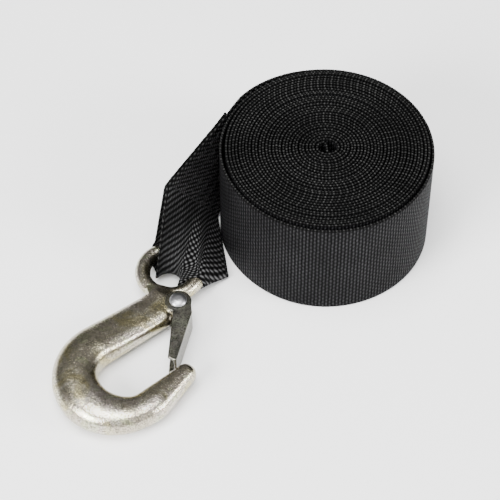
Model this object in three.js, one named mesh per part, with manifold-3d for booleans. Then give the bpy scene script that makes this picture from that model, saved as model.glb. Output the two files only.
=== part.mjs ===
// Winch strap: black webbing rolled into a coil that stands on its edge, with a sewn end loop
// that holds a forged, zinc-plated hook with a sprung latch. Millimetres, +Z up.
// The roll's axis is vertical. The hook lies on the same floor, to the left and in front of it.

import * as THREE from 'three';
import { mergeVertices } from 'three/addons/utils/BufferGeometryUtils.js';
import Module from 'manifold-3d';

const wasm = await Module();
wasm.setup();

// Webbing
const webWidth = 50.8;
const webThickness = 1.2;

// Roll
const turns = 30;
const turnPitch = 1.345;
const boreRadius = 3.25;
const turnEdgeDepth = 0.8;
const rollRadius = boreRadius + turns * turnPitch;

// Tail: its top edge leaves the roll at tailLeave and its lower edge stays on the roll up to tailFoot
const tailLeave = 142;
const tailFoot = 176;
const tailDrop = 9.8;
const tailOut = 31.8;
const tailFront = 39.7;
const seamLayers = 2;

// Hook eye, a ring lying flat
const eyeBar = 6.5;
const eyeInside = 17;
const eyeOut = 21.1;
const eyeFront = 31.1;
const eyeRadius = (eyeInside + eyeBar) / 2;

// Loop of webbing around the eye's bar, with slack that hangs in the eye and a flap past its right arm
const loopGap = 0.3;
const loopFrom = 121;
const loopTo = -14;
const slackFrom = 153;
const slackTo = -50;
const slackReachLeft = 5.6;
const slackReachRight = 4.2;
const slackRadius = 3.9;
const slackDrop = 1.6;
const flapStart = 0.82;
const flapLength = 31.8;
const flapInward = 5.3;

// Hook body: shank, bowl and tip follow a line and an arc and a line
const hookTurn = -18;
const bowlRadius = 18.7;
const bowlReach = 56;
const bowlOffset = -1.2;
const bowlWidth = 18.8;
const bowlThickness = 14;
const shankLean = 35.4;
const shankLength = 31;
const shankWidth = 17.2;
const latchZoneThickness = 8.8;
const shankSwell = 0.8;
const bowlEntry = 13;
const bowlTaper = 1.15;
const neckWidth = 14.6;
const neckThickness = 5.9;
const neckBite = 0.8;
const tipLean = 23.5;
const tipLength = 18;
const tipRootWidth = 13.6;
const tipRootThickness = 11.2;
const tipWidth = 8.2;
const tipThickness = 9;

// Latch, rivet and spring
const rivetX = 9.5;
const rivetY = -17.3;
const fitGap = 0.3;
const latchSink = 1.2;
const latchSheet = 1.2;
const latchEarRadius = 5.5;
const latchFoldOut = 0.5;
const latchEndWidth = 2.5;
const latchEarEnd = 2.3;
const latchNose = 1.5;
const latchOpening = 0.35;
const rivetRadius = 2.2;
const rivetHeadRadius = 3.6;
const rivetDome = 1.9;
const rivetFoot = 0.75;
const rivetChamfer = 0.3;
const lugRadius = 4.9;
const springWire = 0.9;
const springRadius = 3.3;
const springTurns = 1;
const springPocket = 2.8;
const springGrooveWidth = 2.1;
const springGrooveExtra = 3;
const springShankLeg = 10.5;
const springShankTurn = -27;
const springLatchLeg = 12;

const latchInner = latchZoneThickness / 2 + latchOpening;
const latchOuter = latchInner + latchSheet;
const hookPlane = latchOuter + fitGap + rivetFoot;
const radians = THREE.MathUtils.degToRad;

const webbingMaterial = new THREE.MeshStandardMaterial({ color: 0x1b1b1e, roughness: 0.85, metalness: 0 });
const zincMaterial = new THREE.MeshStandardMaterial({ color: 0xb5b19b, roughness: 0.35, metalness: 1 });
const latchMaterial = new THREE.MeshStandardMaterial({ color: 0x8d8a78, roughness: 0.4, metalness: 1 });
const rivetMaterial = new THREE.MeshStandardMaterial({ color: 0xc9cbce, roughness: 0.25, metalness: 1 });
const springMaterial = new THREE.MeshStandardMaterial({ color: 0x6f6c60, roughness: 0.45, metalness: 1 });

// Solids and surfaces

function solid(geometry) {
  const plain = geometry.clone();
  for (const name of Object.keys(plain.attributes)) {
    if (name !== 'position') plain.deleteAttribute(name);
  }
  const merged = mergeVertices(plain, 1e-4);
  return new wasm.Manifold(new wasm.Mesh({
    numProp: 3,
    vertProperties: new Float32Array(merged.attributes.position.array),
    triVerts: new Uint32Array(merged.index.array),
  }));
}

function surface(manifold) {
  const mesh = manifold.getMesh();
  const geometry = new THREE.BufferGeometry();
  geometry.setAttribute('position', new THREE.BufferAttribute(new Float32Array(mesh.vertProperties), 3));
  geometry.setIndex(new THREE.BufferAttribute(new Uint32Array(mesh.triVerts), 1));
  geometry.computeVertexNormals();
  return geometry;
}

function joined(solids) {
  return solids.reduce((whole, next) => whole.add(next));
}

// Six times the volume inside a closed run of faces, negative where they point inwards.
function signedVolume(points, faces) {
  let sum = 0;
  for (let i = 0; i < faces.length; i += 3) {
    sum += points[faces[i]].dot(points[faces[i + 1]].clone().cross(points[faces[i + 2]]));
  }
  return sum;
}

// A closed solid through rings of points, which may run either way round.
function loft(rings) {
  const around = rings[0].length;
  const points = rings.flat();
  const faces = [];
  for (let i = 0; i + 1 < rings.length; i += 1) {
    for (let j = 0; j < around; j += 1) {
      const next = (j + 1) % around;
      const a = i * around + j;
      const b = i * around + next;
      const c = a + around;
      const d = b + around;
      faces.push(a, b, d, a, d, c);
    }
  }
  const ends = [rings[0], rings[rings.length - 1]];
  ends.forEach((ring, end) => {
    const centre = ring.reduce((sum, p) => sum.add(p), new THREE.Vector3()).divideScalar(around);
    const start = end === 0 ? 0 : (rings.length - 1) * around;
    points.push(centre);
    for (let j = 0; j < around; j += 1) {
      const a = start + j;
      const b = start + (j + 1) % around;
      if (end === 0) faces.push(points.length - 1, b, a);
      else faces.push(points.length - 1, a, b);
    }
  });
  if (signedVolume(points, faces) < 0) faces.reverse();
  const geometry = new THREE.BufferGeometry().setFromPoints(points);
  geometry.setIndex(faces);
  return geometry;
}

// Webbing

function rollGeometry() {
  const profile = [];
  const end = (height, inward) => {
    const points = [];
    for (let turn = 0; turn < turns; turn += 1) {
      const inner = boreRadius + turn * turnPitch;
      points.push(new THREE.Vector2(inner, height - inward * turnEdgeDepth));
      points.push(new THREE.Vector2(inner + turnPitch / 2, height));
    }
    points.push(new THREE.Vector2(rollRadius, height));
    return points;
  };
  profile.push(...end(0, -1), ...end(webWidth, 1).reverse());
  profile.push(profile[0].clone());
  return new THREE.LatheGeometry(profile, 32).rotateX(Math.PI / 2);
}

function onRoll(angle, radius, height) {
  return new THREE.Vector3(radius * Math.cos(radians(angle)), radius * Math.sin(radians(angle)), height);
}

const seam = seamLayers * webThickness;
const tailStart = onRoll(tailLeave, rollRadius - webThickness, webWidth - loopGap);
const seamTop = onRoll(tailLeave, rollRadius, webWidth - tailDrop);
seamTop.x -= tailOut;
seamTop.y -= tailFront;

// The tail's middle surface: along runs from the roll to the seam, across from its top edge to its foot.
function tailPoint(along, across) {
  const top = tailStart.clone().lerp(seamTop, along);
  const standoff = THREE.MathUtils.lerp(-webThickness, seam, along);
  const foot = onRoll(THREE.MathUtils.lerp(tailLeave, tailFoot, along), rollRadius + standoff, seam / 2 + loopGap);
  return top.lerp(foot, across);
}

// The tail's facing side turns from the roll's axis towards the front.
function tailNormal(along, across) {
  const step = 0.01;
  const here = tailPoint(along, across);
  const forward = tailPoint(along + step, across).sub(here);
  const down = tailPoint(along, across + step).sub(here);
  return forward.cross(down).normalize();
}

const eyeCentre = new THREE.Vector3(-rollRadius - eyeOut, -eyeFront, hookPlane);

function eyePoint(angle) {
  const around = radians(angle);
  return eyeCentre.clone().add(new THREE.Vector3(eyeRadius * Math.cos(around), eyeRadius * Math.sin(around), 0));
}

// The circles that a strip of the loop runs round: its seam, the eye's bar and the slack that hangs in the eye.
function loopCircles(across) {
  const share = across / flapStart;
  const mix = THREE.MathUtils.lerp;
  const bar = eyePoint(mix(loopFrom, loopTo, share));
  const slackAround = radians(mix(slackFrom, slackTo, share));
  const slackOut = mix(slackReachLeft, slackReachRight, share);
  const slack = new THREE.Vector3(slackOut * Math.cos(slackAround), slackOut * Math.sin(slackAround), 0);
  return [
    { centre: tailPoint(1, across), radius: seam / 2 },
    { centre: bar, radius: eyeBar / 2 + loopGap + webThickness },
    { centre: slack.add(eyeCentre).setZ(hookPlane - slackDrop), radius: slackRadius },
  ];
}

// Past the eye's right arm the loop is a flap, which folds down to a corner on the floor.
function flapCircles() {
  const corner = tailPoint(1, 1).add(new THREE.Vector3(flapInward, -flapLength, 0));
  return [{ centre: tailPoint(1, 1), radius: seam / 2 }, { centre: corner, radius: seam / 2 }];
}

// One lengthwise section of the sewn end: the tail's two faces, joined by the loop's hull.
function endSection(across) {
  const tailSteps = 6;
  const arcSteps = 10;
  const back = [];
  const front = [];
  for (let i = 0; i <= tailSteps; i += 1) {
    const along = i / tailSteps;
    const half = THREE.MathUtils.lerp(webThickness, seam, Math.min(2 * along, 1)) / 2;
    const normal = tailNormal(along, across);
    back.push(tailPoint(along, across).addScaledVector(normal, -half));
    front.push(tailPoint(along, across).addScaledVector(normal, half));
  }
  const circles = across > flapStart ? flapCircles() : loopCircles(across);
  const origin = circles[0].centre;
  const end = circles[1].centre;
  const down = end.clone().sub(origin).normalize();
  const outward = end.clone().sub(eyeCentre).normalize();
  const side = outward.addScaledVector(down, -outward.dot(down)).normalize();
  const turn = [];
  for (let k = 0; k <= arcSteps; k += 1) {
    const angle = Math.PI * k / arcSteps;
    const facing = side.clone().multiplyScalar(Math.cos(angle)).addScaledVector(down, Math.sin(angle));
    const reach = ({ centre, radius }) => centre.clone().sub(origin).dot(facing) + radius;
    const furthest = circles.reduce((best, next) => (reach(next) > reach(best) ? next : best));
    turn.push(furthest.centre.clone().addScaledVector(facing, furthest.radius));
  }
  return [...back, ...turn, ...front.reverse()];
}

function sewnEndGeometry() {
  const strips = 7;
  const sections = [];
  for (let j = 0; j <= strips; j += 1) sections.push(endSection(flapStart * j / strips));
  sections.push(endSection(1));
  return loft(sections);
}

function eyeRing(clearance) {
  return new THREE.TorusGeometry(eyeRadius, eyeBar / 2 + clearance, 12, 32);
}

function webbingSolid() {
  const ring = solid(eyeRing(loopGap).translate(eyeCentre.x, eyeCentre.y, eyeCentre.z));
  const size = 4 * rollRadius;
  const above = new THREE.BoxGeometry(size * 2, size * 2, size);
  above.translate(0, 0, size / 2 + loopGap / 2);
  return solid(sewnEndGeometry()).intersect(solid(above)).subtract(ring).add(solid(rollGeometry()));
}

// Hook, in its own frame: the eye's centre is the origin, +Y runs from the bowl to the eye

function bowlPoint(angle, radius) {
  const around = radians(angle);
  return new THREE.Vector2(bowlOffset + radius * Math.cos(around), -bowlReach + radius * Math.sin(around));
}

const tipAngle = 360 - tipLean;
const tipHeading = new THREE.Vector2(Math.sin(radians(tipLean)), Math.cos(radians(tipLean)));

function tipPoint(along) {
  return bowlPoint(tipAngle, bowlRadius).addScaledVector(tipHeading, along);
}

function tipBreadth(share) {
  return THREE.MathUtils.lerp(tipRootWidth, tipWidth, share);
}

// The centre line from the neck to the tip, as points with a share of the way along each stretch.
function hookStations() {
  const shankSteps = 6;
  const bowlSteps = 16;
  const tipSteps = 4;
  const noseSteps = 4;
  const startAngle = 180 - shankLean;
  const start = bowlPoint(startAngle, bowlRadius);
  const stations = [];
  const add = (point, heading, width, thickness) => stations.push({ point, heading, width, thickness });
  const mix = THREE.MathUtils.lerp;
  const shankHeading = new THREE.Vector2(-Math.sin(radians(shankLean)), -Math.cos(radians(shankLean)));
  for (let i = 0; i < shankSteps; i += 1) {
    const share = i / shankSteps;
    const point = start.clone().addScaledVector(shankHeading, -shankLength * (1 - share));
    const width = mix(shankWidth, (shankWidth + bowlWidth) / 2, share);
    add(point, shankHeading, width, mix(latchZoneThickness, bowlThickness, share * share * shankSwell));
  }
  for (let i = 0; i <= bowlSteps; i += 1) {
    const share = i / bowlSteps;
    const angle = mix(startAngle, tipAngle, share);
    const heading = new THREE.Vector2(-Math.sin(radians(angle)), Math.cos(radians(angle)));
    const swell = Math.sin(Math.PI * Math.min(share * bowlTaper, 1));
    const width = mix(share < 0.5 ? (shankWidth + bowlWidth) / 2 : tipRootWidth, bowlWidth, swell);
    const thickness = mix(share < 0.5 ? bowlEntry : tipRootThickness, bowlThickness, swell);
    add(bowlPoint(angle, bowlRadius), heading, width, thickness);
  }
  for (let i = 1; i <= tipSteps; i += 1) {
    const share = i / tipSteps;
    add(tipPoint(tipLength * share), tipHeading, tipBreadth(share), mix(tipRootThickness, tipThickness, share));
  }
  for (let i = 1; i <= noseSteps; i += 1) {
    const turn = Math.PI / 2 * i / (noseSteps + 0.5);
    const point = tipPoint(tipLength + Math.sin(turn) * tipWidth / 2);
    add(point, tipHeading, tipWidth * Math.cos(turn), tipThickness * Math.cos(turn));
  }
  return stations;
}

// A rounded forged section, squarer than an ellipse.
function forgedSection({ point, heading, width, thickness }) {
  const sides = 16;
  const square = 0.8;
  const across = new THREE.Vector2(heading.y, -heading.x);
  const ring = [];
  for (let k = 0; k < sides; k += 1) {
    const turn = 2 * Math.PI * k / sides;
    const x = Math.sign(Math.cos(turn)) * Math.abs(Math.cos(turn)) ** square * width / 2;
    const z = Math.sign(Math.sin(turn)) * Math.abs(Math.sin(turn)) ** square * thickness / 2;
    ring.push(new THREE.Vector3(point.x + across.x * x, point.y + across.y * x, z));
  }
  return ring;
}

function neckStations() {
  const first = hookStations()[0];
  const down = new THREE.Vector2(0, -1);
  const top = new THREE.Vector2(0, -eyeInside / 2 - neckBite);
  const middle = top.clone().lerp(first.point, 0.5);
  return [
    { point: top, heading: down, width: neckWidth, thickness: neckThickness },
    { point: middle, heading: down, width: shankWidth, thickness: latchZoneThickness },
    { ...first },
  ];
}

function upright(x, y, radius, low, high) {
  const pin = new THREE.CylinderGeometry(radius, radius, high - low, 24).rotateX(Math.PI / 2);
  return pin.translate(x, y, (low + high) / 2);
}

// The latch runs from its rivet to a point beside the tip's inner flank, latchSink below the tip's end.
const latchLine = tipPoint(tipLength - latchSink)
  .add(new THREE.Vector2(-tipHeading.y, tipHeading.x)
    .multiplyScalar((tipBreadth(1 - latchSink / tipLength) + latchEndWidth) / 2 + fitGap))
  .sub(new THREE.Vector2(rivetX, rivetY));
const latchLength = latchLine.length();
const latchAngle = latchLine.angle();

// The groove under the shank's inner edge that the spring's leg lies in.
function springNotch() {
  const top = springLow + springWire / 2 + fitGap;
  const bottom = -bowlThickness;
  const length = springShankLeg + springGrooveExtra;
  const notch = new THREE.BoxGeometry(length, springGrooveWidth, top - bottom);
  notch.translate(length / 2, -springRadius, (top + bottom) / 2);
  notch.rotateZ(radians(springShankTurn) + latchAngle);
  return notch.translate(rivetX, rivetY, 0);
}

function hookSolid() {
  const half = latchZoneThickness / 2;
  const body = joined([
    solid(loft(hookStations().map(forgedSection))),
    solid(loft(neckStations().map(forgedSection))),
    solid(eyeRing(0)),
    solid(upright(rivetX, rivetY, lugRadius, -half, half)),
  ]);
  const pocket = upright(rivetX, rivetY, lugRadius + fitGap, -2 * half, -half + springPocket);
  const bore = upright(rivetX, rivetY, rivetRadius + fitGap, -2 * half, 2 * half);
  return body.subtract(solid(pocket)).subtract(solid(bore)).subtract(solid(springNotch()));
}

// Latch, in a frame at the rivet with X along the latch towards the tip and Y outwards

const latchFoldStart = latchEarRadius + latchFoldOut;

function latchFold(x) {
  const rise = (latchEndWidth / 2 - latchFoldStart) / (latchLength - latchEarRadius);
  return latchFoldStart + rise * (x - latchEarRadius);
}

function plate(shape, low, high) {
  return new THREE.ExtrudeGeometry(shape, { depth: high - low, bevelEnabled: false, curveSegments: 16 })
    .translate(0, 0, low);
}

function latchSolid() {
  const outline = new THREE.Shape();
  outline.moveTo(latchLength - latchNose, -latchEarEnd);
  outline.lineTo(latchLength, 0);
  outline.lineTo(latchLength, latchFold(latchLength));
  outline.lineTo(latchEarRadius, latchFoldStart);
  outline.absarc(0, 0, latchEarRadius, radians(80), radians(342), false);
  outline.closePath();
  const reach = 2 * latchLength;
  const inside = new THREE.Shape();
  inside.moveTo(-reach, -reach);
  inside.lineTo(reach, -reach);
  inside.lineTo(reach, latchFold(reach) - latchSheet);
  inside.lineTo(lugRadius, latchFold(lugRadius) - latchSheet);
  inside.lineTo(lugRadius, reach);
  inside.lineTo(-reach, reach);
  inside.closePath();
  const channel = solid(plate(outline, -latchOuter, latchOuter));
  const bore = solid(upright(0, 0, rivetRadius + fitGap, -2 * latchOuter, 2 * latchOuter));
  return channel.subtract(solid(plate(inside, -latchInner, latchInner))).subtract(bore);
}

function rivetGeometry() {
  const domeSteps = 5;
  const low = -latchOuter - fitGap;
  const high = latchOuter + fitGap;
  const profile = [
    new THREE.Vector2(0, low - rivetFoot),
    new THREE.Vector2(rivetHeadRadius - rivetChamfer, low - rivetFoot),
    new THREE.Vector2(rivetHeadRadius, low),
    new THREE.Vector2(rivetRadius, low),
    new THREE.Vector2(rivetRadius, high),
  ];
  for (let i = 0; i < domeSteps; i += 1) {
    const turn = Math.PI / 2 * i / domeSteps;
    profile.push(new THREE.Vector2(rivetHeadRadius * Math.cos(turn), high + rivetDome * Math.sin(turn)));
  }
  profile.push(new THREE.Vector2(0, high + rivetDome));
  return new THREE.LatheGeometry(profile, 24).rotateX(Math.PI / 2);
}

// Torsion spring around the rivet, under the lug, with one leg on the shank and one in the latch.
// It lies in the latch's frame.
const springLow = -latchInner + fitGap + springWire / 2;
const springHigh = -latchZoneThickness / 2 + springPocket - fitGap - springWire / 2;

class SpringPath extends THREE.Curve {
  constructor() {
    super();
    const coilSteps = 16;
    const first = radians(springShankTurn + 270);
    const last = radians(90 - 360 * springTurns);
    const points = [];
    for (const share of [1, 0.5]) {
      const reach = springShankLeg * share;
      points.push(new THREE.Vector3(
        springRadius * Math.cos(first) - reach * Math.sin(first),
        springRadius * Math.sin(first) + reach * Math.cos(first),
        springLow,
      ));
    }
    for (let i = 0; i <= coilSteps; i += 1) {
      const turn = THREE.MathUtils.lerp(first, last, i / coilSteps);
      const height = THREE.MathUtils.lerp(springLow, springHigh, i / coilSteps);
      points.push(new THREE.Vector3(springRadius * Math.cos(turn), springRadius * Math.sin(turn), height));
    }
    const rest = latchFold(springLatchLeg) - latchSheet - fitGap - springWire / 2;
    for (const share of [0.5, 1]) {
      const side = THREE.MathUtils.lerp(springRadius, rest, share);
      points.push(new THREE.Vector3(springLatchLeg * share, side, springHigh));
    }
    this.path = new THREE.CatmullRomCurve3(points, false, 'centripetal');
  }

  getPoint(t, target) {
    return this.path.getPoint(t, target);
  }
}

function springGeometry() {
  const sides = 8;
  const wire = new THREE.Shape();
  for (let k = 0; k < sides; k += 1) {
    const turn = 2 * Math.PI * k / sides;
    const x = springWire / 2 * Math.cos(turn);
    const y = springWire / 2 * Math.sin(turn);
    if (k > 0) wire.lineTo(x, y);
    if (k === 0) wire.moveTo(x, y);
  }
  wire.closePath();
  return new THREE.ExtrudeGeometry(wire, { steps: 44, bevelEnabled: false, extrudePath: new SpringPath() });
}

// Assembly

function piece(name, geometry, material) {
  const mesh = new THREE.Mesh(geometry, material);
  mesh.name = name;
  return mesh;
}

const latch = new THREE.Group();
latch.position.set(rivetX, rivetY, 0);
latch.rotation.z = latchAngle;
latch.add(
  piece('latch', surface(latchSolid()), latchMaterial),
  piece('latch_rivet', rivetGeometry(), rivetMaterial),
  piece('latch_spring', springGeometry(), springMaterial),
);

const hook = new THREE.Group();
hook.position.copy(eyeCentre);
hook.rotation.z = radians(hookTurn);
hook.add(piece('hook_body', surface(hookSolid()), zincMaterial), latch);

const strap = new THREE.Group();
strap.add(piece('webbing', surface(webbingSolid()), webbingMaterial), hook);

// The origin is under the middle of the whole part
strap.updateMatrixWorld(true);
const bounds = new THREE.Box3().setFromObject(strap, true);
strap.position.set(-(bounds.min.x + bounds.max.x) / 2, -(bounds.min.y + bounds.max.y) / 2, -bounds.min.z);

export default strap;
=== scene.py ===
import math

import bpy
import numpy as np
from mathutils import Matrix, Vector


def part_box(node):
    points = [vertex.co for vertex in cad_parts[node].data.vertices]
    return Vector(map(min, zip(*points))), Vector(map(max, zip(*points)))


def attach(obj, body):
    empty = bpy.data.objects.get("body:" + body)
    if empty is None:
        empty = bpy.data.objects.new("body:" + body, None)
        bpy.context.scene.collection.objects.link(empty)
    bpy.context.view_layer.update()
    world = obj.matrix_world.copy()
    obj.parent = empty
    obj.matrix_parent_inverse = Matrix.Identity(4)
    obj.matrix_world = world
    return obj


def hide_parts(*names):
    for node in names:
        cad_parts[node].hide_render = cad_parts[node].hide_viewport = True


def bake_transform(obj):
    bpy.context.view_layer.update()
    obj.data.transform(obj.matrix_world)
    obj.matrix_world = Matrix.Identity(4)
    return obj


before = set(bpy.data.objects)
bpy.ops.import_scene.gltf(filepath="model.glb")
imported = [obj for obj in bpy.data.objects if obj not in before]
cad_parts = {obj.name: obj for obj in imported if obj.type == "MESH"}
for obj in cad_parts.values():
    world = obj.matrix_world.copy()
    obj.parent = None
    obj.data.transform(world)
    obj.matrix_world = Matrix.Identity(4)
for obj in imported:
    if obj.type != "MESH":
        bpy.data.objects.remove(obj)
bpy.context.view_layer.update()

# Sizes of the CAD model, in millimetres
WEB_WIDTH = 50.8
ROLL_RADIUS = 43.6
TAIL_LEAVE = 142.0
TAIL_FOOT = 176.0
TAIL_DROP = 9.8
TAIL_OUT = 31.8
TAIL_FRONT = 39.7
EYE_BAR = 6.5
EYE_INSIDE = 17.0
EYE_OUT = 21.1
EYE_FRONT = 31.1
EYE_RADIUS = (EYE_INSIDE + EYE_BAR) / 2
FLAP_START = 0.82
FLAP_LENGTH = 31.8
FLAP_INWARD = 5.3
SLACK_LEFT, SLACK_RIGHT = 5.6, 4.2
SLACK_RADIUS = 3.9
SLACK_DROP = 1.6
HOOK_TURN = math.radians(-18)
HOOK_PLANE = 7.0
BOWL_RADIUS = 18.7
BOWL_REACH = 56.0
BOWL_OFFSET = -1.2
BOWL_WIDTH = 18.8
BOWL_THICKNESS = 14.0
SHANK_LEAN = 35.4
SHANK_LENGTH = 31.0
SHANK_WIDTH = 17.2
ZONE_THICKNESS = 8.8
TIP_LEAN = 23.5
TIP_LENGTH = 18.0
TIP_ROOT_WIDTH, TIP_ROOT_THICKNESS = 13.6, 11.2
TIP_WIDTH, TIP_THICKNESS = 8.2, 9.0
RIVET = np.array([9.5, -17.3])
LATCH_INNER, LATCH_OUTER = 4.75, 5.95
LATCH_SHEET = 1.2
EAR_RADIUS = 5.5
LATCH_END_WIDTH = 2.5
LATCH_SINK = 1.2
FIT_GAP = 0.3
LUG_RADIUS = 4.9
NECK_WIDTH, NECK_THICKNESS, NECK_BITE = 14.6, 5.9, 0.8
RIVET_HEAD = 3.6
SPRING_POCKET = 2.8
SPRING_RADIUS = 3.3

# Webbing as it shows. The loop starts further round the eye than the CAD's and faces the front.
LOOP_FROM, LOOP_TO = 136.0, -14.0
SLACK_FROM, SLACK_TO = 160.0, -50.0
LOOP_FACING = np.array([-0.05, -0.6, 0.8])
STRIP = 1.10
HALF = STRIP / 2
TURNS = 29.09
LOOSE_RADIUS = 44.5
CORE_RADIUS = 3.9
WOUND_PITCH = (LOOSE_RADIUS - HALF - CORE_RADIUS) / TURNS
RIB = 1.42

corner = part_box("webbing")[1]
AXIS = np.array([corner[0] * 1000 - ROLL_RADIUS, corner[1] * 1000 - ROLL_RADIUS])
EYE = np.array([AXIS[0] - ROLL_RADIUS - EYE_OUT, AXIS[1] - EYE_FRONT, HOOK_PLANE])


def smoothstep(x):
    x = np.clip(x, 0.0, 1.0)
    return x * x * (3 - 2 * x)


def noise_line(seed, spacing, length):
    """A smooth random line: a function of the distance along it, between about -1 and 1."""
    count = int(length / spacing) + 4
    knots = np.random.RandomState(seed).uniform(-1, 1, count)

    def value(x):
        s = np.asarray(x, float) / spacing
        i = np.clip(np.floor(s).astype(int), 0, count - 2)
        f = smoothstep(s - i)
        return knots[i] * (1 - f) + knots[i + 1] * f

    return value


# Meshes

def mesh_piece(name, points, faces, material, uv=None, smooth=True):
    """A mesh object from points in millimetres. uv holds one pair for each face corner."""
    mesh = bpy.data.meshes.new(name)
    mesh.from_pydata((np.asarray(points, float) * 0.001).tolist(), [], [list(map(int, f)) for f in faces])
    if uv is not None:
        layer = mesh.uv_layers.new(name="strip")
        layer.data.foreach_set("uv", np.asarray(uv, np.float32).ravel())
    mesh.validate()
    if smooth:
        mesh.polygons.foreach_set("use_smooth", [True] * len(mesh.polygons))
    mesh.update()
    mesh.materials.append(material)
    piece = bpy.data.objects.new(name, mesh)
    bpy.context.scene.collection.objects.link(piece)
    return piece


def selvage_columns(inner):
    """Places across the strip from 0 to its width, close together at both woven edges."""
    edge = np.array([0.0, 0.07, 0.25, 0.55])
    middle = np.linspace(0, WEB_WIDTH, inner + 2)[1:-1]
    return np.concatenate([edge, middle, WEB_WIDTH - edge[::-1]])


def grid_normals(grid):
    along = np.gradient(grid, axis=0)
    across = np.gradient(grid, axis=1)
    normal = np.cross(along, across)
    length = np.linalg.norm(normal, axis=2, keepdims=True)
    return normal / np.maximum(length, 1e-9)


def strip_piece(name, grid, columns, lengths, material, normals=None, start=0.0):
    """A strip with rounded woven edges. grid is its middle surface, rows along it and columns across."""
    rows, cols = grid.shape[:2]
    if normals is None:
        normals = grid_normals(grid)
    edge = 0.55
    inset = np.minimum(columns, WEB_WIDTH - columns)
    half = HALF * np.sqrt(np.clip(1 - (1 - np.clip(inset / edge, 0, 1)) ** 2, 0, 1))
    front = grid + normals * half[None, :, None]
    back = grid - normals * half[None, :, None]
    ring = np.concatenate([front, back[:, 1:-1][:, ::-1]], axis=1)
    around = ring.shape[1]
    points = ring.reshape(-1, 3)
    side = np.concatenate([columns, columns[1:-1][::-1]])
    which = np.concatenate([np.arange(cols), np.arange(1, cols - 1)[::-1]])
    faces, uv = [], []
    for i in range(rows - 1):
        for j in range(around):
            k = (j + 1) % around
            faces.append((i * around + j, (i + 1) * around + j, (i + 1) * around + k, i * around + k))
            uv.extend([
                (start + lengths[i, which[j]], side[j]), (start + lengths[i + 1, which[j]], side[j]),
                (start + lengths[i + 1, which[k]], side[k]), (start + lengths[i, which[k]], side[k]),
            ])
    for i, order in ((0, 1), (rows - 1, -1)):
        for j in range(cols - 1):
            a = i * around + j
            b = i * around + j + 1
            c = i * around + (around - j - 1 if j + 1 < cols - 1 else j + 1)
            d = i * around + (around - j if j > 0 else j)
            corners = [a, b] + ([c] if c != b else []) + ([d] if d != a else [])
            if len(set(corners)) < 3:
                continue
            faces.append(tuple(corners[::order]))
            uv.extend([(start + lengths[i, min(j, cols - 1)], columns[j])] * len(corners))
    return mesh_piece(name, points, faces, material, uv)


def arc_lengths(grid):
    steps = np.linalg.norm(np.diff(grid, axis=0), axis=2)
    return np.concatenate([np.zeros((1, grid.shape[1])), np.cumsum(steps, axis=0)])


# Materials

class Nodes:
    """A small helper to write a material's nodes as expressions."""

    def __init__(self, name):
        self.material = bpy.data.materials.new(name)
        self.material.use_nodes = True
        self.tree = self.material.node_tree
        self.tree.nodes.clear()
        self.output = self.tree.nodes.new("ShaderNodeOutputMaterial")
        self.shader = self.tree.nodes.new("ShaderNodeBsdfPrincipled")
        self.tree.links.new(self.shader.outputs[0], self.output.inputs["Surface"])

    def feed(self, socket, value):
        if isinstance(value, bpy.types.NodeSocket):
            self.tree.links.new(value, socket)
        elif value is not None:
            socket.default_value = value

    def math(self, kind, a, b=None, c=None, clamp=False):
        node = self.tree.nodes.new("ShaderNodeMath")
        node.operation = kind
        node.use_clamp = clamp
        for socket, value in zip(node.inputs, (a, b, c)):
            self.feed(socket, value)
        return node.outputs[0]

    def coordinates(self, kind):
        node = self.tree.nodes.new("ShaderNodeTexCoord")
        return node.outputs[kind]

    def strip(self):
        node = self.tree.nodes.new("ShaderNodeUVMap")
        node.uv_map = "strip"
        split = self.tree.nodes.new("ShaderNodeSeparateXYZ")
        self.tree.links.new(node.outputs[0], split.inputs[0])
        return node.outputs[0], split.outputs[0], split.outputs[1]

    def noise(self, vector, scale, detail=2.0, rough=0.5, distortion=0.0):
        node = self.tree.nodes.new("ShaderNodeTexNoise")
        self.feed(node.inputs["Vector"], vector)
        node.inputs["Scale"].default_value = scale
        node.inputs["Detail"].default_value = detail
        node.inputs["Roughness"].default_value = rough
        node.inputs["Distortion"].default_value = distortion
        return node.outputs["Fac"]

    def cells(self, vector, scale):
        node = self.tree.nodes.new("ShaderNodeTexVoronoi")
        self.feed(node.inputs["Vector"], vector)
        node.inputs["Scale"].default_value = scale
        return node.outputs["Distance"]

    def ramp(self, value, stops):
        node = self.tree.nodes.new("ShaderNodeValToRGB")
        self.feed(node.inputs[0], value)
        elements = node.color_ramp.elements
        while len(elements) < len(stops):
            elements.new(0.5)
        for element, (place, colour) in zip(elements, stops):
            element.position = place
            element.color = (*colour, 1.0) if len(colour) == 3 else colour
        return node.outputs[0]

    def mix(self, share, a, b, blend="MIX"):
        node = self.tree.nodes.new("ShaderNodeMix")
        node.data_type = "RGBA"
        node.blend_type = blend
        self.feed(node.inputs[0], share)
        self.feed(node.inputs[6], a if not isinstance(a, tuple) else (*a, 1.0))
        self.feed(node.inputs[7], b if not isinstance(b, tuple) else (*b, 1.0))
        return node.outputs[2]

    def range(self, value, low, high, new_low, new_high):
        node = self.tree.nodes.new("ShaderNodeMapRange")
        self.feed(node.inputs[0], value)
        for socket, number in zip(node.inputs[1:5], (low, high, new_low, new_high)):
            socket.default_value = number
        return node.outputs[0]

    def bump(self, height, distance, strength=1.0, before=None):
        node = self.tree.nodes.new("ShaderNodeBump")
        node.inputs["Strength"].default_value = strength
        node.inputs["Distance"].default_value = distance
        self.feed(node.inputs["Height"], height)
        if before is not None:
            self.feed(node.inputs["Normal"], before)
        return node.outputs[0]

    def set(self, **sockets):
        for name, value in sockets.items():
            self.feed(self.shader.inputs[name.replace("_", " ")], value)


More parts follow.
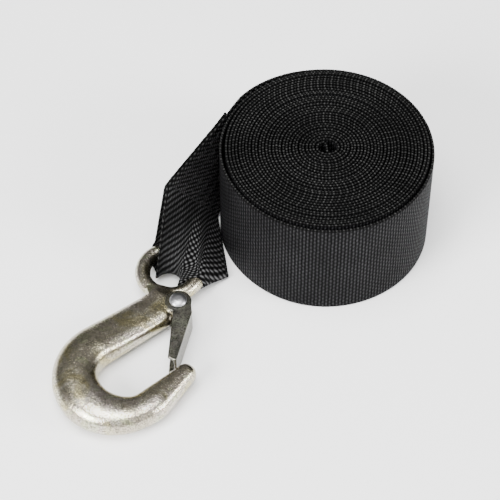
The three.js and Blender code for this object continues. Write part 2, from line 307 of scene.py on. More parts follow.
def webbing_material(leave):
    """leave is the length along the strip at which its other face starts to show."""
    n = Nodes("black_webbing")
    uv, u, v = n.strip()
    place = n.coordinates("Object")
    wander = n.math("MULTIPLY", n.math("SUBTRACT", n.noise(uv, 0.35, 2.0), 0.5), 0.55)
    along = n.math("ADD", u, wander)
    side = n.math("ADD", v, n.math("MULTIPLY", n.math("SUBTRACT", n.noise(uv, 0.6, 1.0), 0.5), 0.2))
    rib = n.math("COSINE", n.math("MULTIPLY", along, 2 * math.pi / RIB))
    checker = n.math(
        "MULTIPLY",
        n.math("COSINE", n.math("MULTIPLY", along, math.pi / RIB)),
        n.math("COSINE", n.math("MULTIPLY", side, 2 * math.pi / 2.4)),
    )
    yarn = n.math("COSINE", n.math("MULTIPLY", side, 2 * math.pi / 0.325))
    ribbed = n.math("ADD", n.math("MULTIPLY", rib, 0.36), n.math("MULTIPLY", checker, 0.20))
    dotted = n.math("ADD", n.math("MULTIPLY", rib, 0.06), n.math("MULTIPLY", checker, 0.56))
    other = n.range(u, leave - 25.0, leave + 4.0, 0.0, 1.0)
    weave = n.math("ADD", ribbed, n.math("MULTIPLY", n.math("SUBTRACT", dotted, ribbed), other))
    weave = n.math("ADD", n.math("ADD", weave, n.math("MULTIPLY", yarn, 0.03)), 0.5)
    fibre = n.noise(uv, 5.5, 3.0, 0.6)
    height = n.math("ADD", weave, n.math("MULTIPLY", fibre, 0.30))
    patches = n.noise(place, 55.0, 3.0, 0.6)
    # Along both edges of the strip: painted shade on the edge's shoulders, where the turns of the roll meet,
    # and a painted highlight on its crest.
    edge = n.math("ABSOLUTE", n.math("SUBTRACT", v, WEB_WIDTH / 2))
    painted_edge_band = n.range(edge, WEB_WIDTH / 2 - 0.85, WEB_WIDTH / 2 - 0.45, 0.0, 1.0)
    # Weave colours from the weave's height. The pattern is the webbing's own, but the lighter yarn crests are
    # a painted sheen and the near-black valleys are painted shade.
    tone = n.math("ADD", n.math("MULTIPLY", weave, 0.72), n.math("MULTIPLY", fibre, 0.28))
    ribbed_weave_sheen_and_shade = n.ramp(tone, [
        (0.24, (0.0004, 0.0004, 0.0005)), (0.50, (0.0050, 0.0050, 0.0054)),
        (0.72, (0.0170, 0.0168, 0.0182)), (0.92, (0.0420, 0.0415, 0.0445)),
    ])
    dotted_weave_sheen_and_shade = n.ramp(tone, [
        (0.34, (0.0003, 0.0003, 0.0003)), (0.52, (0.0100, 0.0100, 0.0102)),
        (0.68, (0.0520, 0.0520, 0.0530)), (0.88, (0.1200, 0.1200, 0.1220)),
    ])
    face = n.mix(other, ribbed_weave_sheen_and_shade, dotted_weave_sheen_and_shade)
    # Colour of the edge's crest: a painted highlight.
    edge_shade_and_highlight = n.ramp(tone, [
        (0.20, (0.0015, 0.0015, 0.0015)), (0.52, (0.0100, 0.0100, 0.0100)), (0.90, (0.046, 0.046, 0.045)),
    ])
    crest_highlight = n.range(edge, WEB_WIDTH / 2 - 0.26, WEB_WIDTH / 2 - 0.05, 0.0, 1.0)
    # Near black on the edge's shoulders: painted shade between the turns.
    edge_shade_and_highlight = n.mix(crest_highlight, (0.0002, 0.0002, 0.0002), edge_shade_and_highlight)
    colour = n.mix(painted_edge_band, face, edge_shade_and_highlight)
    colour = n.mix(n.range(patches, 0.3, 0.7, 0.0, 0.55), colour, (0.0008, 0.0008, 0.0009))
    n.set(
        Base_Color=colour,
        Roughness=n.range(height, 0.1, 1.0, 0.80, 0.42),
        Normal=n.bump(height, 0.00060, 1.0),
        Specular_IOR_Level=0.04,
        Sheen_Weight=0.0,
        Sheen_Roughness=0.4,
    )
    return n.material


def thread_material():
    n = Nodes("stitch_thread")
    place = n.coordinates("Object")
    ply = n.noise(place, 2400.0, 2.0, 0.6)
    n.set(
        Base_Color=n.ramp(ply, [(0.25, (0.001, 0.001, 0.001)), (0.75, (0.018, 0.018, 0.019))]),
        Roughness=n.range(ply, 0.2, 0.8, 0.6, 0.42),
        Normal=n.bump(ply, 0.00012, 0.8),
        Specular_IOR_Level=0.2,
        Sheen_Weight=0.03,
        Sheen_Roughness=0.4,
    )
    return n.material


def plated_material(name, tones, rough, grain, speckle=0.5, bump=0.00012, tint=0.0):
    """Plating over steel: broad tints, fine dark grain and small pits."""
    n = Nodes(name)
    place = n.coordinates("Object")
    broad = n.noise(place, 42.0, 2.0, 0.5, 0.5)
    blotch = n.noise(place, 330.0, 3.0, 0.6, 0.2)
    fine = n.noise(place, grain, 2.0, 0.7)
    pits = n.cells(place, grain * 0.9)
    texture = n.noise(place, grain * 1.5, 2.0, 0.6)
    tone = n.ramp(n.math("ADD", n.math("MULTIPLY", broad, 0.72), n.math("MULTIPLY", blotch, 0.28)), tones)
    dark = n.range(fine, 0.42, 0.60, 0.0, speckle)
    colour = n.mix(dark, tone, tuple(0.40 * c for c in tones[0][1]))
    film = n.noise(place, 75.0, 2.0, 0.5, 1.2)
    tinted = n.ramp(film, [
        (0.34, (1.0, 0.93, 0.62)), (0.44, (1.0, 0.98, 0.90)),
        (0.54, (1.0, 0.93, 0.95)), (0.64, (0.94, 1.0, 0.82)),
    ])
    colour = n.mix(tint, colour, tinted, "MULTIPLY")
    spread = n.math("ADD", n.math("MULTIPLY", blotch, 0.4), n.math("MULTIPLY", fine, 0.6))
    height = n.math("ADD", n.math("MULTIPLY", texture, 0.7), n.math("MULTIPLY", pits, 0.4))
    soft = n.bump(blotch, 0.0002, 0.25)
    n.set(
        Base_Color=colour,
        Metallic=1.0,
        Roughness=n.range(spread, 0.3, 0.7, rough[0], rough[1]),
        Normal=n.bump(height, bump, 0.9, before=soft),
    )
    return n.material


THREAD = thread_material()
ZINC = plated_material(
    "zinc_forging",
    [(0.36, (0.52, 0.49, 0.38)), (0.46, (0.60, 0.56, 0.44)),
     (0.54, (0.68, 0.65, 0.57)), (0.64, (0.68, 0.62, 0.57))],
    (0.15, 0.34), 1500.0, 0.95, 0.00011, 0.8,
)
LATCH = plated_material(
    "latch_sheet",
    [(0.36, (0.13, 0.13, 0.115)), (0.5, (0.20, 0.195, 0.165)), (0.64, (0.29, 0.285, 0.25))],
    (0.22, 0.42), 1500.0, 0.80, 0.00006, 0.5,
)
RIVET_STEEL = plated_material(
    "rivet_steel",
    [(0.36, (0.42, 0.42, 0.43)), (0.5, (0.52, 0.52, 0.53)), (0.64, (0.62, 0.61, 0.60))],
    (0.26, 0.42), 2600.0, 0.35, 0.00004,
)
SPRING_STEEL = plated_material(
    "spring_wire",
    [(0.30, (0.16, 0.15, 0.13)), (0.5, (0.26, 0.25, 0.21)), (0.7, (0.36, 0.34, 0.29))],
    (0.28, 0.42), 2400.0, 0.2, 0.00003,
)


# Roll: one long strip, wound outwards from a short end that lies across the core

TURN_ANGLE = 360.0 * TURNS
wobble = noise_line(11, 47.0, TURN_ANGLE + 400)
slow = noise_line(5, 210.0, TURN_ANGLE + 400)
rise = noise_line(23, 85.0, TURN_ANGLE + 400)
step_rise = noise_line(31, 360.0, TURN_ANGLE + 400)


def spiral(travel):
    """Middle of the strip at an angle travelled from the core, in degrees: x and y."""
    azimuth = np.radians(TAIL_LEAVE - TURN_ANGLE + travel)
    radius = LOOSE_RADIUS - HALF - WOUND_PITCH * (TURN_ANGLE - travel) / 360.0
    fade = smoothstep((TURN_ANGLE - 60 - travel) / 300.0)
    uneven = 0.5 + 0.5 * np.cos(2 * azimuth)
    radius = radius + (0.07 + 0.055 * uneven) * wobble(travel) * fade + 0.05 * slow(travel) * fade
    squash = 1 - 0.22 * np.exp(-(radius - 3.0) / 6.0)
    x = radius * np.cos(azimuth)
    y = radius * np.sin(azimuth) * squash
    return x, y


def strip_height(travel):
    fade = smoothstep((TURN_ANGLE - 200 - travel) / 300.0)
    return WEB_WIDTH / 2 + 0.05 + (0.24 * (1 + rise(travel)) + 0.28 * (1 + step_rise(travel))) * fade


def roll_grid(first, last, rows, columns):
    travel = np.linspace(first, last, rows)
    x, y = spiral(travel)
    path = np.stack([x, y], axis=1)
    if first == 0:
        start = path[0]
        steps = np.linspace(0, 1, 14)
        low = np.array([0.15, -2.15])
        bend = np.array([0.1, 2.5])
        core = np.array([(1 - s) ** 2 * low + 2 * s * (1 - s) * bend + s * s * start for s in steps[:-1]])
        path = np.concatenate([core, path])
        travel = np.concatenate([np.zeros(len(core)), travel])
    tangent = np.gradient(path, axis=0)
    tangent /= np.linalg.norm(tangent, axis=1, keepdims=True)
    normal = np.stack([tangent[:, 1], -tangent[:, 0], np.zeros(len(path))], axis=1)
    middle = strip_height(travel)
    grid = np.zeros((len(path), len(columns), 3))
    grid[:, :, 0] = path[:, 0, None] + AXIS[0]
    grid[:, :, 1] = path[:, 1, None] + AXIS[1]
    grid[:, :, 2] = middle[:, None] + (WEB_WIDTH / 2 - columns)[None, :] * 0.992
    return grid, np.repeat(normal[:, None, :], len(columns), axis=1)


LAST = TURN_ANGLE - 400.0
columns = selvage_columns(3)
grid, normals = roll_grid(0.0, LAST, int(LAST / 3.6), columns)
lengths = arc_lengths(grid)
WEBBING = webbing_material(float(lengths[-1, 0]) + math.radians(400) * (LOOSE_RADIUS - WOUND_PITCH))
roll = strip_piece("webbing_roll", grid, columns, lengths, WEBBING, normals)
roll_length = float(lengths[-1, 0])


# Outer turn, tail and loop: one strip, whose rows run along it

def on_roll(angle, radius):
    turn = math.radians(angle)
    return np.array([AXIS[0] + radius * math.cos(turn), AXIS[1] + radius * math.sin(turn)])


START_OUT = 1.2
tail_start = np.append(on_roll(TAIL_LEAVE, LOOSE_RADIUS - HALF + START_OUT), WEB_WIDTH * 0.996)
seam_top = np.append(on_roll(TAIL_LEAVE, ROLL_RADIUS), WEB_WIDTH - TAIL_DROP)
seam_top[:2] += (-TAIL_OUT, -TAIL_FRONT)


def tail_point(along, across):
    top = tail_start + (seam_top - tail_start) * along
    radius = LOOSE_RADIUS - HALF + 2.1 * along
    angle = TAIL_LEAVE + (TAIL_FOOT - TAIL_LEAVE) * along
    foot = np.append(on_roll(angle, radius), WEB_WIDTH * 0.004 + 0.9 * along)
    return top + (foot - top) * across


def tail_normal(along, across):
    step = 0.01
    here = tail_point(along, across)
    normal = np.cross(tail_point(along + step, across) - here, tail_point(along, across + step) - here)
    return normal / np.linalg.norm(normal)


def eye_point(angle):
    turn = math.radians(angle)
    return EYE + EYE_RADIUS * np.array([math.cos(turn), math.sin(turn), 0.0])


def loop_circles(across):
    """The circles that the strip's middle runs round here: its seam, the bar and the slack in the eye."""
    share = min(across / FLAP_START, 1.0)
    bar = eye_point(LOOP_FROM + (LOOP_TO - LOOP_FROM) * share)
    turn = math.radians(SLACK_FROM + (SLACK_TO - SLACK_FROM) * share)
    out = SLACK_LEFT + (SLACK_RIGHT - SLACK_LEFT) * share
    slack = EYE + np.array([out * math.cos(turn), out * math.sin(turn), -SLACK_DROP])
    bar_radius = EYE_BAR / 2 + FIT_GAP + HALF
    slack_radius = SLACK_RADIUS - HALF
    if across > FLAP_START:
        fold = smoothstep((across - FLAP_START) / (1 - FLAP_START))
        corner = tail_point(1, 1) + np.array([FLAP_INWARD, -FLAP_LENGTH, 0.3])
        bar = bar + (corner - bar) * fold
        slack = slack + (bar - slack) * float(smoothstep(4 * (across - FLAP_START) / (1 - FLAP_START)))
        bar_radius += (HALF - bar_radius) * fold
        slack_radius += (HALF - slack_radius) * fold
    return [(tail_point(1, across), HALF), (bar, bar_radius), (slack, slack_radius)]


def loop_path(across, steps):
    circles = loop_circles(across)
    origin, end = circles[0][0], circles[1][0]
    down = (end - origin) / np.linalg.norm(end - origin)
    side = np.dot(LOOP_FACING, down) * down - LOOP_FACING
    side /= np.linalg.norm(side)
    normal = tail_normal(1, across)
    points = [origin + normal * HALF]
    for angle in np.linspace(math.pi, 0, 181):
        facing = side * math.cos(angle) + down * math.sin(angle)
        reach = [np.dot(c - origin, facing) + r for c, r in circles]
        c, r = circles[int(np.argmax(reach))]
        points.append(c + facing * r)
    points.append(origin - normal * HALF)
    points = np.array(points)
    lengths = np.concatenate([[0], np.cumsum(np.linalg.norm(np.diff(points, axis=0), axis=1))])
    even = np.linspace(0, lengths[-1], steps)
    return np.stack([np.interp(even, lengths, points[:, k]) for k in range(3)], axis=1)


columns = selvage_columns(41)
shares = columns / WEB_WIDTH
turn_rows, tail_rows, loop_rows, back_rows = 500, 84, 104, 40

turn_grid, _ = roll_grid(LAST - 6.0, TURN_ANGLE, turn_rows, columns)
travel = np.linspace(LAST - 6.0, TURN_ANGLE, turn_rows)
loose = START_OUT * smoothstep((travel - TURN_ANGLE + 50) / 50)[:, None] * (1 - shares)[None, :]
bulge = 0.0
for middle, spread, size in ((170, 40, 0.55), (238, 42, 0.75), (318, 34, 0.95)):
    bulge = bulge + size * np.exp(-((travel - TURN_ANGLE + middle) / spread) ** 2)[:, None]
from_axis = turn_grid[:, :, :2] - AXIS
from_axis /= np.linalg.norm(from_axis, axis=2, keepdims=True)
turn_grid[:, :, :2] += from_axis * (loose + bulge)[:, :, None]

tail_grid = np.zeros((tail_rows, len(columns), 3))
for i in range(tail_rows):
    along = (i + 1) / (tail_rows + 1)
    for j, across in enumerate(shares):
        lift = HALF * float(smoothstep((along - 0.05) / 0.3))
        tail_grid[i, j] = tail_point(along, across) + tail_normal(along, across) * lift

loop_grid = np.zeros((loop_rows, len(columns), 3))
for j, across in enumerate(shares):
    loop_grid[:, j] = loop_path(float(across), loop_rows)

back_grid = np.zeros((back_rows, len(columns), 3))
for i in range(back_rows):
    along = 1 - 0.82 * (i + 1) / back_rows
    for j, across in enumerate(shares):
        lift = HALF + HALF * (1 - float(smoothstep((along - 0.05) / 0.3)))
        back_grid[i, j] = tail_point(along, across) - tail_normal(along, across) * lift

end_grid = np.concatenate([turn_grid, tail_grid, loop_grid, back_grid])


def clear_of_ring(grid, room):
    """Moves points of the strip's middle out of the eye's bar."""
    flat = grid[..., :2] - EYE[:2]
    reach = np.linalg.norm(flat, axis=-1, keepdims=True)
    on_ring = flat / np.maximum(reach, 1e-6) * EYE_RADIUS + EYE[:2]
    nearest = np.concatenate([on_ring, np.full_like(reach, EYE[2])], axis=-1)
    away = grid - nearest
    distance = np.linalg.norm(away, axis=-1, keepdims=True)
    push = np.maximum(room - distance, 0)
    return grid + away / np.maximum(distance, 1e-6) * push


first = turn_rows + tail_rows - 3
last = turn_rows + tail_rows + loop_rows + 3
for _ in range(8):
    part = end_grid[first:last]
    smooth = part.copy()
    smooth[1:-1, 1:-1] = 0.5 * part[1:-1, 1:-1] + 0.125 * (
        part[:-2, 1:-1] + part[2:, 1:-1] + part[1:-1, :-2] + part[1:-1, 2:])
    smooth[1:-1, -1] = 0.6 * part[1:-1, -1] + 0.2 * (part[:-2, -1] + part[2:, -1])
    smooth = clear_of_ring(smooth, EYE_BAR / 2 + HALF + 0.22)
    smooth[..., 2] = np.maximum(smooth[..., 2], HALF + 0.1)
    end_grid[first:last] = smooth
end_lengths = arc_lengths(end_grid)
tooth = 0.13 * np.cos(2 * math.pi * (end_lengths + roll_length) / RIB)
for column, way in ((0, 1), (1, 1), (2, 0.6), (-1, -1), (-2, -1), (-3, -0.6)):
    across = end_grid[:, column] - end_grid[:, 8 if column >= 0 else -9]
    across /= np.linalg.norm(across, axis=1, keepdims=True)
    end_grid[:, column] += across * tooth[:, column, None] * abs(way)
loop = strip_piece("webbing_end", end_grid, columns, end_lengths, WEBBING, start=roll_length)


# Stitching through the sewn end

def surface_at(row, column):
    i = int(np.clip(row, 0, end_grid.shape[0] - 2))
    j = int(np.clip(column, 0, end_grid.shape[1] - 2))
    f, g = row - i, column - j
    low = end_grid[i, j] * (1 - g) + end_grid[i, j + 1] * g
    high = end_grid[i + 1, j] * (1 - g) + end_grid[i + 1, j + 1] * g
    return low * (1 - f) + high * f


def stitch_rows():
    """Runs of the sewing, each a list of (along the tail, across it) in shares."""
    runs = []
    rows_across = 7
    for k in range(rows_across):
        middle = 0.09 + 0.82 * k / (rows_across - 1)
        points = []
        count = 19
        for i in range(count):
            points.append((0.16 + 0.80 * i / (count - 1), middle + (0.030 if i % 2 else -0.030)))
        runs.append(points)
    for along in (0.965, 0.16):
        runs.append([(along, 0.05 + 0.90 * i / 24) for i in range(25)])
    return runs


def stitch_piece():
    points, faces = [], []
    normals = grid_normals(end_grid)
    ring = 6
    cross = [(-1.0, 0.0), (-0.62, 0.75), (0.0, 1.0), (0.62, 0.75), (1.0, 0.0), (0.0, -0.6)]
    spans = [(0.0, 0.15), (0.12, 0.8), (0.5, 1.0), (0.88, 0.8), (1.0, 0.15)]

    def place(along, across):
        row = turn_rows - 1 + along * (tail_rows + 1)
        column = np.interp(across * WEB_WIDTH, columns, np.arange(len(columns)))
        return row, column

    for run in stitch_rows():
        for (a0, c0), (a1, c1) in zip(run[:-1], run[1:]):
            start = surface_at(*place(a0, c0))
            end = surface_at(*place(a1, c1))
            row, column = place((a0 + a1) / 2, (c0 + c1) / 2)
            normal = normals[int(row), int(column)]
            heading = end - start
            length = np.linalg.norm(heading)
            heading /= length
            side = np.cross(normal, heading)
            base = len(points)
            for share, swell in spans:
                centre = start + heading * length * (0.06 + 0.88 * share) + normal * (HALF + 0.02)
                for x, z in cross:
                    points.append(centre + side * x * 0.34 * swell + normal * z * 0.30 * swell)
            for s in range(len(spans) - 1):
                for k in range(ring):
                    a = base + s * ring + k
                    b = base + s * ring + (k + 1) % ring
                    faces.append((a, b, b + ring, a + ring))
            faces.append(tuple(base + k for k in range(ring))[::-1])
            faces.append(tuple(base + (len(spans) - 1) * ring + k for k in range(ring)))
    return mesh_piece("stitching", points, faces, THREAD)


stitching = stitch_piece()


# Hook: forged sections, in a frame at the eye's centre

TO_HOOK = Matrix.Translation(Vector(EYE * 0.001)) @ Matrix.Rotation(HOOK_TURN, 4, "Z")


def closed_loft(rings):
    around = len(rings[0])
    points = [p for ring in rings for p in ring]
    faces = []
    for i in range(len(rings) - 1):
        for j in range(around):
            k = (j + 1) % around
            faces.append((i * around + j, i * around + k, (i + 1) * around + k, (i + 1) * around + j))
    faces.append(tuple(range(around))[::-1])
    faces.append(tuple((len(rings) - 1) * around + j for j in range(around)))
    return points, faces


def merged(parts):
    points, faces = [], []
    for part_points, part_faces in parts:
        base = len(points)
        points.extend(part_points)
        faces.extend(tuple(base + i for i in face) for face in part_faces)
    return points, faces


def bowl_point(angle, radius=BOWL_RADIUS):
    turn = math.radians(angle)
    return np.array([BOWL_OFFSET + radius * math.cos(turn), -BOWL_REACH + radius * math.sin(turn)])


TIP_ANGLE = 360 - TIP_LEAN
TIP_HEADING = np.array([math.sin(math.radians(TIP_LEAN)), math.cos(math.radians(TIP_LEAN))])


def tip_point(along):
    return bowl_point(TIP_ANGLE) + TIP_HEADING * along


def lerp(a, b, share):
    return a + (b - a) * share


def hook_stations():
    """From the neck to the tip: point, heading, width, thickness and how square the inner side is."""
    stations = []
    start_angle = 180 - SHANK_LEAN
    start = bowl_point(start_angle)
    heading = np.array([-math.sin(math.radians(SHANK_LEAN)), -math.cos(math.radians(SHANK_LEAN))])
    for i in range(24):
        share = i / 24
        width = lerp(SHANK_WIDTH, (SHANK_WIDTH + BOWL_WIDTH) / 2, share)
        thickness = lerp(ZONE_THICKNESS, BOWL_THICKNESS, share * share * 0.8)
        square = lerp(0.45, 0.55, share)
        stations.append((start - heading * SHANK_LENGTH * (1 - share), heading, width, thickness, square))
    for i in range(65):
        share = i / 64
        angle = lerp(start_angle, TIP_ANGLE, share)
        turn = math.radians(angle)
        swell = math.sin(math.pi * min(share * 1.15, 1))
        width = lerp((SHANK_WIDTH + BOWL_WIDTH) / 2 if share < 0.5 else TIP_ROOT_WIDTH, BOWL_WIDTH, swell)
        thickness = lerp(13.0 if share < 0.5 else TIP_ROOT_THICKNESS, BOWL_THICKNESS, swell)
        square = lerp(0.55, 0.8, share)
        heading = np.array([-math.sin(turn), math.cos(turn)])
        stations.append((bowl_point(angle), heading, width, thickness, square))
    for i in range(1, 13):
        share = i / 12
        width = lerp(TIP_ROOT_WIDTH, TIP_WIDTH, share)
        thickness = lerp(TIP_ROOT_THICKNESS, TIP_THICKNESS, share)
        stations.append((tip_point(TIP_LENGTH * share), TIP_HEADING, width, thickness, 0.85))
    for i in range(1, 9):
        turn = math.pi / 2 * i / 8.5
        shrink = math.cos(turn)
        point = tip_point(TIP_LENGTH + math.sin(turn) * TIP_WIDTH / 2)
        stations.append((point, TIP_HEADING, TIP_WIDTH * shrink, TIP_THICKNESS * shrink, 0.9))
    return stations


def forged_ring(point, heading, width, thickness, square, sides=48):
    across = np.array([heading[1], -heading[0]])
    ring = []
    for k in range(sides):
        turn = 2 * math.pi * k / sides
        c, s = math.cos(turn), math.sin(turn)
        power = 0.86 if c > 0 else square
        x = math.copysign(abs(c) ** power, c) * width / 2
        z = math.copysign(abs(s) ** (0.86 if c > 0 else 0.78), s) * thickness / 2
        ring.append(np.array([point[0] + across[0] * x, point[1] + across[1] * x, z]))
    return ring


def neck_stations():
    first = hook_stations()[0]
    down = np.array([0.0, -1.0])
    top = np.array([0.0, -EYE_INSIDE / 2 - NECK_BITE])
    stations = []
    for i in range(9):
        share = i / 8
        point = lerp(top, first[0], share)
        width = lerp(NECK_WIDTH, SHANK_WIDTH, min(2 * share, 1))
        thickness = lerp(NECK_THICKNESS, ZONE_THICKNESS, min(2 * share, 1))
        heading = lerp(down, first[1], share)
        stations.append((point, heading / np.linalg.norm(heading), width, thickness, 0.6))
    return stations


def torus(radius, bar, around=96, sides=40):
    points, faces = [], []
    for i in range(around):
        a = 2 * math.pi * i / around
        for j in range(sides):
            b = 2 * math.pi * j / sides
            r = radius + bar * math.cos(b)
            points.append(np.array([r * math.cos(a), r * math.sin(a), bar * math.sin(b)]))
            i2, j2 = (i + 1) % around, (j + 1) % sides
            faces.append((i * sides + j, i2 * sides + j, i2 * sides + j2, i * sides + j2))
    return points, faces


def pin(x, y, radius, low, high, sides=48):
    rings = []
    for z in (low, high):
        rings.append([np.array([x + radius * math.cos(2 * math.pi * k / sides),
                                y + radius * math.sin(2 * math.pi * k / sides), z]) for k in range(sides)])
    return closed_loft(rings)


def outward(points, faces):
    """The same faces, turned to point out of the closed shape."""
    volume = 0.0
    for face in faces:
        for i in range(1, len(face) - 1):
            a, b, c = points[face[0]], points[face[i]], points[face[i + 1]]
            volume += float(np.dot(a, np.cross(b, c)))
    return points, (faces if volume > 0 else [tuple(reversed(f)) for f in faces])


def remeshed(name, parts, material, voxel, relax, place):
    """Overlapping closed shapes made into one skin with soft joins."""
    points, faces = merged([outward(*part) for part in parts])
    piece = mesh_piece(name, points, faces, material)
    bpy.context.view_layer.objects.active = piece
    remesh = piece.modifiers.new("skin", "REMESH")
    remesh.mode = "VOXEL"
    remesh.voxel_size = voxel * 0.001
    remesh.use_smooth_shade = True
    smoother = piece.modifiers.new("soft", "SMOOTH")
    smoother.factor = 0.5
    smoother.iterations = relax
    graph = bpy.context.evaluated_depsgraph_get()
    mesh = bpy.data.meshes.new_from_object(piece.evaluated_get(graph))
    piece.modifiers.clear()
    old = piece.data
    piece.data = mesh
    mesh.name = name
    bpy.data.meshes.remove(old)
    mesh.transform(place)
    mesh.polygons.foreach_set("use_smooth", [True] * len(mesh.polygons))
    mesh.update()
    return piece


half_zone = ZONE_THICKNESS / 2
hook_parts = [
    closed_loft([forged_ring(*s) for s in hook_stations()]),
    closed_loft([forged_ring(*s) for s in neck_stations()]),
    torus(EYE_RADIUS, EYE_BAR / 2),
    pin(RIVET[0], RIVET[1], LUG_RADIUS, -half_zone + 3.1, half_zone),
]
hook_body = remeshed("hook_forging", hook_parts, ZINC, 0.42, 5, TO_HOOK)


# Latch: folded sheet, in a frame at the rivet with X along it

inward = np.array([-TIP_HEADING[1], TIP_HEADING[0]])
breadth = lerp(TIP_ROOT_WIDTH, TIP_WIDTH, 1 - LATCH_SINK / TIP_LENGTH)
latch_line = tip_point(TIP_LENGTH - LATCH_SINK) + inward * ((breadth + LATCH_END_WIDTH) / 2 + FIT_GAP) - RIVET
LATCH_LENGTH = float(np.linalg.norm(latch_line))
LATCH_ANGLE = math.atan2(latch_line[1], latch_line[0])
FOLD_START = EAR_RADIUS + 0.5
TO_RIVET = Matrix.Translation(Vector((RIVET[0] * 0.001, RIVET[1] * 0.001, 0)))
TO_LATCH = TO_HOOK @ TO_RIVET @ Matrix.Rotation(LATCH_ANGLE, 4, "Z")


def fold(x):
    rise = (LATCH_END_WIDTH / 2 - FOLD_START) / (LATCH_LENGTH - EAR_RADIUS)
    return FOLD_START + rise * (x - EAR_RADIUS)


def plate(outline, low, high):
    return closed_loft([[np.array([x, y, z]) for x, y in outline] for z in (low, high)])


def ear_outline():
    points = [(LATCH_LENGTH - 1.5, -2.3), (LATCH_LENGTH - 0.4, -0.4), (LATCH_LENGTH, fold(LATCH_LENGTH))]
    points.append((EAR_RADIUS, FOLD_START))
    for k in range(41):
        turn = math.radians(80 + (342 - 80) * k / 40)
        points.append((EAR_RADIUS * math.cos(turn), EAR_RADIUS * math.sin(turn)))
    return points


def latch_web():
    rings = []
    for i in range(13):
        x = lerp(LUG_RADIUS, LATCH_LENGTH, i / 12)
        y = fold(x)
        rings.append([np.array([x, y, -LATCH_OUTER]), np.array([x, y, LATCH_OUTER]),
                      np.array([x, y - LATCH_SHEET, LATCH_OUTER]),
                      np.array([x, y - LATCH_SHEET, -LATCH_OUTER])])
    return closed_loft(rings)


latch = remeshed("latch_channel", [
    plate(ear_outline(), LATCH_INNER, LATCH_OUTER),
    plate(ear_outline(), -LATCH_OUTER, -LATCH_INNER),
    latch_web(),
], LATCH, 0.24, 4, TO_LATCH)


# Rivet and spring

def lathe(profile, sides=56):
    rings = []
    for r, z in profile:
        rings.append([np.array([max(r, 0.01) * math.cos(2 * math.pi * k / sides),
                                max(r, 0.01) * math.sin(2 * math.pi * k / sides), z]) for k in range(sides)])
    return closed_loft(rings)


high = LATCH_OUTER + FIT_GAP
profile = [(0.0, -high - 0.75), (3.2, -high - 0.75), (3.45, -high - 0.5), (RIVET_HEAD, -high - 0.12),
           (3.5, -high),
           (2.2, -high), (2.2, high), (3.35, high), (3.58, high + 0.14)]
for k in range(1, 13):
    turn = math.pi / 2 * k / 12
    dip = 0.12 * math.exp(-(RIVET_HEAD * math.cos(turn) / 1.1) ** 2)
    profile.append((RIVET_HEAD * math.cos(turn), high + 0.14 + 1.76 * math.sin(turn) - dip))
points, faces = outward(*lathe(profile))
rivet = mesh_piece("rivet", points, faces, RIVET_STEEL)
rivet.data.transform(TO_LATCH)


SPRING_WIRE = 0.9
SPRING_LOW = -LATCH_INNER + FIT_GAP + SPRING_WIRE / 2
SPRING_TOP = -half_zone + SPRING_POCKET - FIT_GAP - SPRING_WIRE / 2


def spring_path():
    wire, radius, legs = SPRING_WIRE, SPRING_RADIUS, (10.5, 12.0)
    low, top = SPRING_LOW, SPRING_TOP
    first, last_turn = math.radians(-27 + 270), math.radians(90 - 360)
    points = []
    for share in (1.0, 0.75, 0.5, 0.25):
        reach = legs[0] * share
        points.append((radius * math.cos(first) - reach * math.sin(first),
                       radius * math.sin(first) + reach * math.cos(first), low))
    for i in range(33):
        turn = lerp(first, last_turn, i / 32)
        points.append((radius * math.cos(turn), radius * math.sin(turn), lerp(low, top, i / 32)))
    rest = fold(legs[1]) - LATCH_SHEET - FIT_GAP - wire / 2
    for share in (0.25, 0.5, 0.75, 1.0):
        points.append((legs[1] * share, lerp(radius, rest, share), top))
    return np.array(points)


def tube(name, path, radius, material, sides=14):
    heading = np.gradient(path, axis=0)
    heading /= np.linalg.norm(heading, axis=1, keepdims=True)
    rings = []
    side = np.array([0.0, 0.0, 1.0])
    for point, direction in zip(path, heading):
        side = side - np.dot(side, direction) * direction
        side /= np.linalg.norm(side)
        other = np.cross(direction, side)
        turns = [2 * math.pi * k / sides for k in range(sides)]
        rings.append([point + radius * (side * math.cos(turn) + other * math.sin(turn)) for turn in turns])
    ends = [(0, 0.7, -0.25), (-1, 0.7, 0.25)]
    for which, shrink, step in ends:
        centre = path[which] + heading[which] * step * radius * 2
        ring = [centre + (p - path[which]) * shrink for p in rings[which]]
        rings = [ring] + rings if which == 0 else rings + [ring]
    points, faces = outward(*closed_loft(rings))
    return mesh_piece(name, points, faces, material)


spring = tube("spring", spring_path(), 0.45, SPRING_STEEL)
spring.data.transform(TO_LATCH)


# Bodies

for piece in (roll, loop, stitching):
    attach(piece, "strap")
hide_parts("webbing")
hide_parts("webbing")
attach(hook_body, "hook")
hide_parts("hook_body")
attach(latch, "latch")
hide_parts("latch")
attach(rivet, "hook")
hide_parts("latch_rivet")
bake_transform(spring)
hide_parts("latch_spring")


# Floor, light and camera

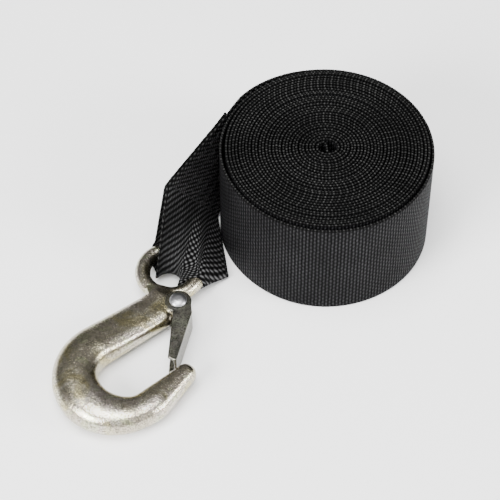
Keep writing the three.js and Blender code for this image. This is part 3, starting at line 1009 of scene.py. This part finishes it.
def plain_material(name, colour, rough):
    n = Nodes(name)
    tone = n.noise(n.coordinates("Object"), 3.0, 2.0)
    n.set(
        Base_Color=n.ramp(tone, [(0.3, colour), (0.7, tuple(c * 0.99 for c in colour))]),
        Roughness=rough,
        Specular_IOR_Level=0.2,
    )
    return n.material


floor = mesh_piece("floor", [(-3000, -3000, 0), (3000, -3000, 0), (3000, 3000, 0), (-3000, 3000, 0)],
                   [(0, 1, 2, 3)], plain_material("floor_white", (0.97, 0.97, 0.97), 0.9), smooth=False)

world = bpy.data.worlds.new("studio")
bpy.context.scene.world = world
world.use_nodes = True
sky = world.node_tree
direction = sky.nodes.new("ShaderNodeTexCoord")
split = sky.nodes.new("ShaderNodeSeparateXYZ")
shade = sky.nodes.new("ShaderNodeMapRange")
shade.interpolation_type = "SMOOTHSTEP"
for socket, number in zip(shade.inputs[1:5], (0.30, -0.60, 0.20, 1.25)):
    socket.default_value = number
sky.links.new(direction.outputs["Generated"], split.inputs[0])
sky.links.new(split.outputs[1], shade.inputs[0])
sky.links.new(shade.outputs[0], sky.nodes["Background"].inputs["Strength"])
sky.nodes["Background"].inputs["Color"].default_value = (1.0, 1.0, 1.0, 1.0)


def area_light(name, place, target, size, power):
    data = bpy.data.lights.new(name, "AREA")
    data.shape = "RECTANGLE"
    data.size, data.size_y = size
    data.energy = power
    light = bpy.data.objects.new(name, data)
    light.location = place
    light.rotation_euler = (Vector(target) - Vector(place)).to_track_quat("-Z", "Y").to_euler()
    bpy.context.scene.collection.objects.link(light)


area_light("front_left", (-0.75, -0.70, 0.62), (-0.03, -0.03, 0.02), (0.55, 0.5), 26.0)
area_light("right", (1.05, -0.35, 0.50), (0, 0, 0.02), (0.4, 0.5), 15.0)
area_light("top", (-0.1, -0.15, 1.3), (0, 0, 0.02), (0.9, 0.8), 30.0)

camera_data = bpy.data.cameras.new("camera")
camera_data.lens = 144
camera_data.sensor_width = 36
camera_data.clip_start = 0.05
camera_data.clip_end = 20
camera = bpy.data.objects.new("camera", camera_data)
camera.location = ((AXIS[0] - 31.527) * 0.001, (AXIS[1] - 539.411) * 0.001, 0.671833)
camera.rotation_euler = (math.radians(90 - 51.964), 0, 0)
bpy.context.scene.collection.objects.link(camera)
bpy.context.scene.camera = camera
